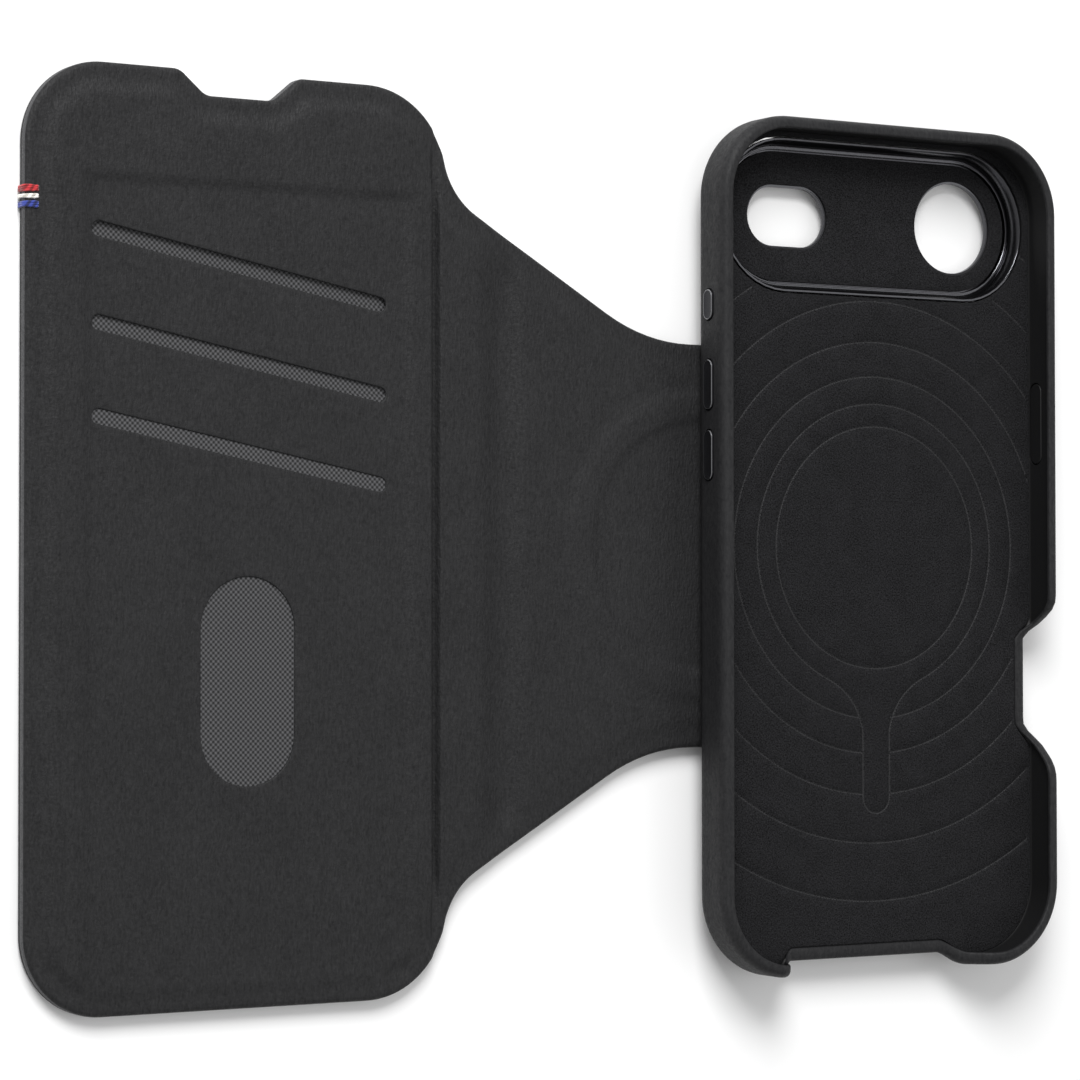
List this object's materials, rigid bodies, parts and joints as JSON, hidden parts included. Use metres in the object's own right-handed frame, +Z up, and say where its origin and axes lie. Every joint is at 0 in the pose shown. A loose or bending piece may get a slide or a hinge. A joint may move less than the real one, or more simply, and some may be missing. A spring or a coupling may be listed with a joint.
{
  "type": "phone wallet case",
  "caption": "Slim phone case that docks by magnets on a folding leather folio with a spine, card pockets and a thumb window, open and flat.",
  "frame": {"origin": "centre of the footprint, on the surface that the open folio lies on", "axes": "+X from the cover to the phone case, +Y towards the camera end, +Z up out of the phone case's mouth"},
  "size_m": [0.2128, 0.161, 0.0125],
  "materials": {
    "leather": "smooth aniline-look leather with a fine brushed grain, charcoal",
    "hinge_leather": "thin flexible leather pressed into the fold",
    "stiffener_board": "grey-brown bonded fibre board",
    "woven_lining": "grey woven polyester with a dotted weave",
    "microfibre": "black microfibre suede",
    "shell_plastic": "black moulded polycarbonate",
    "anodised_aluminium": "gloss black anodised frame",
    "button_metal": "dark anodised, polished edge",
    "magnet_metal": "nickel-plated neodymium",
    "red_thread": "polyester thread, red",
    "white_thread": "polyester thread, white",
    "blue_thread": "polyester thread, blue"
  },
  "bodies": {
    "back_panel": {"panel_outer_leather": "leather", "panel_plate": "stiffener_board", "panel_inner_leather": "leather", "panel_hinge_leather": "hinge_leather", "panel_magnet_01": "magnet_metal", "panel_magnet_02": "magnet_metal", "panel_magnet_03": "magnet_metal", "panel_magnet_04": "magnet_metal", "panel_magnet_05": "magnet_metal", "panel_magnet_06": "magnet_metal", "panel_magnet_07": "magnet_metal", "panel_magnet_08": "magnet_metal", "panel_magnet_09": "magnet_metal", "panel_magnet_10": "magnet_metal", "panel_magnet_11": "magnet_metal", "panel_magnet_12": "magnet_metal", "panel_magnet_13": "magnet_metal", "panel_magnet_14": "magnet_metal", "panel_magnet_15": "magnet_metal", "panel_magnet_16": "magnet_metal"},
    "spine": {"spine_outer_leather": "leather", "spine_board": "stiffener_board", "spine_inner_leather": "leather", "cover_hinge_leather": "hinge_leather"},
    "cover": {"cover_outer_leather": "leather", "cover_board": "stiffener_board", "top_pocket_lining": "woven_lining", "middle_pocket_lining": "woven_lining", "bottom_pocket_lining": "woven_lining", "cover_pocket_leather": "leather", "red_thread": "red_thread", "white_thread": "white_thread", "blue_thread": "blue_thread"},
    "case": {"case_leather": "leather", "case_shell": "shell_plastic", "case_lining": "microfibre", "camera_frame": "anodised_aluminium", "camera_lining": "microfibre", "case_magnet_01": "magnet_metal", "case_magnet_02": "magnet_metal", "case_magnet_03": "magnet_metal", "case_magnet_04": "magnet_metal", "case_magnet_05": "magnet_metal", "case_magnet_06": "magnet_metal", "case_magnet_07": "magnet_metal", "case_magnet_08": "magnet_metal", "case_magnet_09": "magnet_metal", "case_magnet_10": "magnet_metal", "case_magnet_11": "magnet_metal", "case_magnet_12": "magnet_metal", "case_magnet_13": "magnet_metal", "case_magnet_14": "magnet_metal", "case_magnet_15": "magnet_metal", "case_magnet_16": "magnet_metal", "case_alignment_magnet": "magnet_metal"},
    "action_key": {"action_button": "button_metal"},
    "volume_up_key": {"volume_up_button": "button_metal"},
    "volume_down_key": {"volume_down_button": "button_metal"},
    "side_key": {"side_button": "button_metal"}
  },
  "joints": [
    {"name": "spine_fold", "type": "hinge", "parent": "back_panel", "child": "spine", "pos_m": [-0.01305, 0, 0.0016], "axis": [0, 1, 0], "range_deg": [0, 90]},
    {"name": "cover_fold", "type": "hinge", "parent": "spine", "child": "cover", "pos_m": [-0.02775, 0, 0.0016], "axis": [0, 1, 0], "range_deg": [0, 90]},
    {"name": "case_slide", "type": "slide", "parent": "back_panel", "child": "case", "axis": [1, 0, 0], "range_m": [-0.0382, 0.037]},
    {"name": "action_press", "type": "slide", "parent": "case", "child": "action_key", "axis": [1, 0, 0], "range_m": [0, 0.0004], "stiffness_N_per_m": 2500},
    {"name": "volume_up_press", "type": "slide", "parent": "case", "child": "volume_up_key", "axis": [1, 0, 0], "range_m": [0, 0.0004], "stiffness_N_per_m": 2500},
    {"name": "volume_down_press", "type": "slide", "parent": "case", "child": "volume_down_key", "axis": [1, 0, 0], "range_m": [0, 0.0004], "stiffness_N_per_m": 2500},
    {"name": "side_press", "type": "slide", "parent": "case", "child": "side_key", "axis": [-1, 0, 0], "range_m": [0, 0.0004], "stiffness_N_per_m": 2500}
  ]
}
